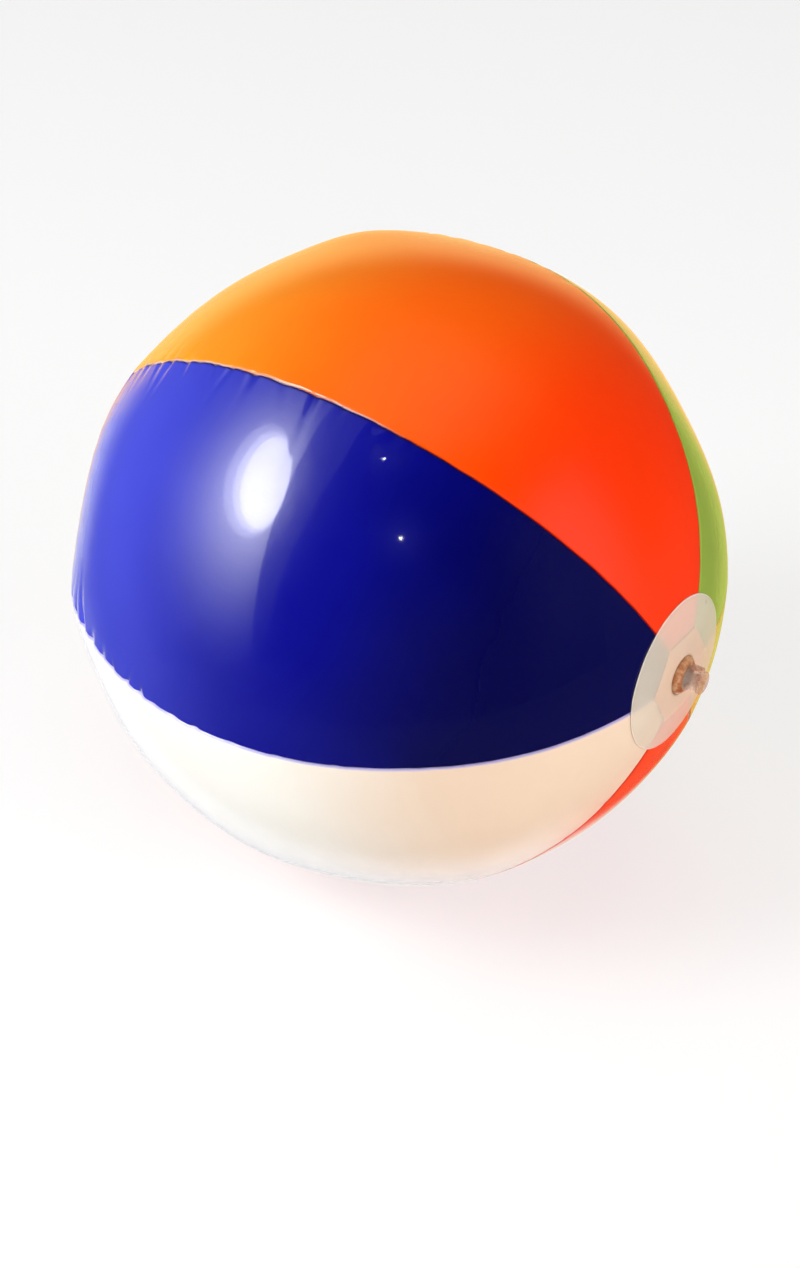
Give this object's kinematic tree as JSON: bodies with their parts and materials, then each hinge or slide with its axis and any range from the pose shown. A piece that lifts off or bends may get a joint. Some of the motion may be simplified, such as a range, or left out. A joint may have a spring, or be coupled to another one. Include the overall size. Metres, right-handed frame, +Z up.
{
  "type": "inflatable beach ball",
  "caption": "Inflatable ball of coloured film panels welded along raised seams, with a translucent disc on each pole and a pop-out air valve that has a strapped stopper and a check flap.",
  "frame": {"origin": "middle of the small flat that the ball's weight presses on the floor, under the ball's centre", "axes": "+Z up, +X along the pole axis towards the valve, +Y away from the picture's viewer"},
  "size_m": [0.3317, 0.326, 0.3194],
  "materials": {
    "film_orange": "glossy printed-through vinyl film",
    "film_blue": "glossy printed-through vinyl film",
    "film_white": "glossy printed-through vinyl film",
    "film_red": "glossy printed-through vinyl film",
    "film_yellow": "glossy printed-through vinyl film",
    "film_green": "glossy printed-through vinyl film",
    "disc_film": "translucent milky vinyl film",
    "valve_clear": "clear soft vinyl"
  },
  "bodies": {
    "shell": {"panel_orange": "film_orange", "panel_blue": "film_blue", "panel_white": "film_white", "panel_red": "film_red", "panel_yellow": "film_yellow", "panel_green": "film_green", "valve_disc": "disc_film", "end_disc": "disc_film", "weld_ring": "valve_clear", "valve_diaphragm": "valve_clear"},
    "valve": {"valve_stem": "valve_clear", "stopper_strap": "valve_clear"},
    "stopper": {"stopper": "valve_clear"},
    "check_flap": {"check_flap": "valve_clear"}
  },
  "joints": [
    {"name": "valve_push", "type": "slide", "parent": "shell", "child": "valve", "axis": [-1, 0, 0], "range_m": [0, 0.009], "deforming": ["valve_diaphragm"]},
    {"name": "stopper_swing", "type": "hinge", "parent": "valve", "child": "stopper", "pos_m": [0.1704, 0, 0.16669], "axis": [0, -1, 0], "range_deg": [0, 140], "deforming": ["stopper_strap"]},
    {"name": "check_flap_swing", "type": "hinge", "parent": "valve", "child": "check_flap", "pos_m": [0.153, 0, 0.16344], "axis": [0, 1, 0], "range_deg": [0, 70]}
  ]
}
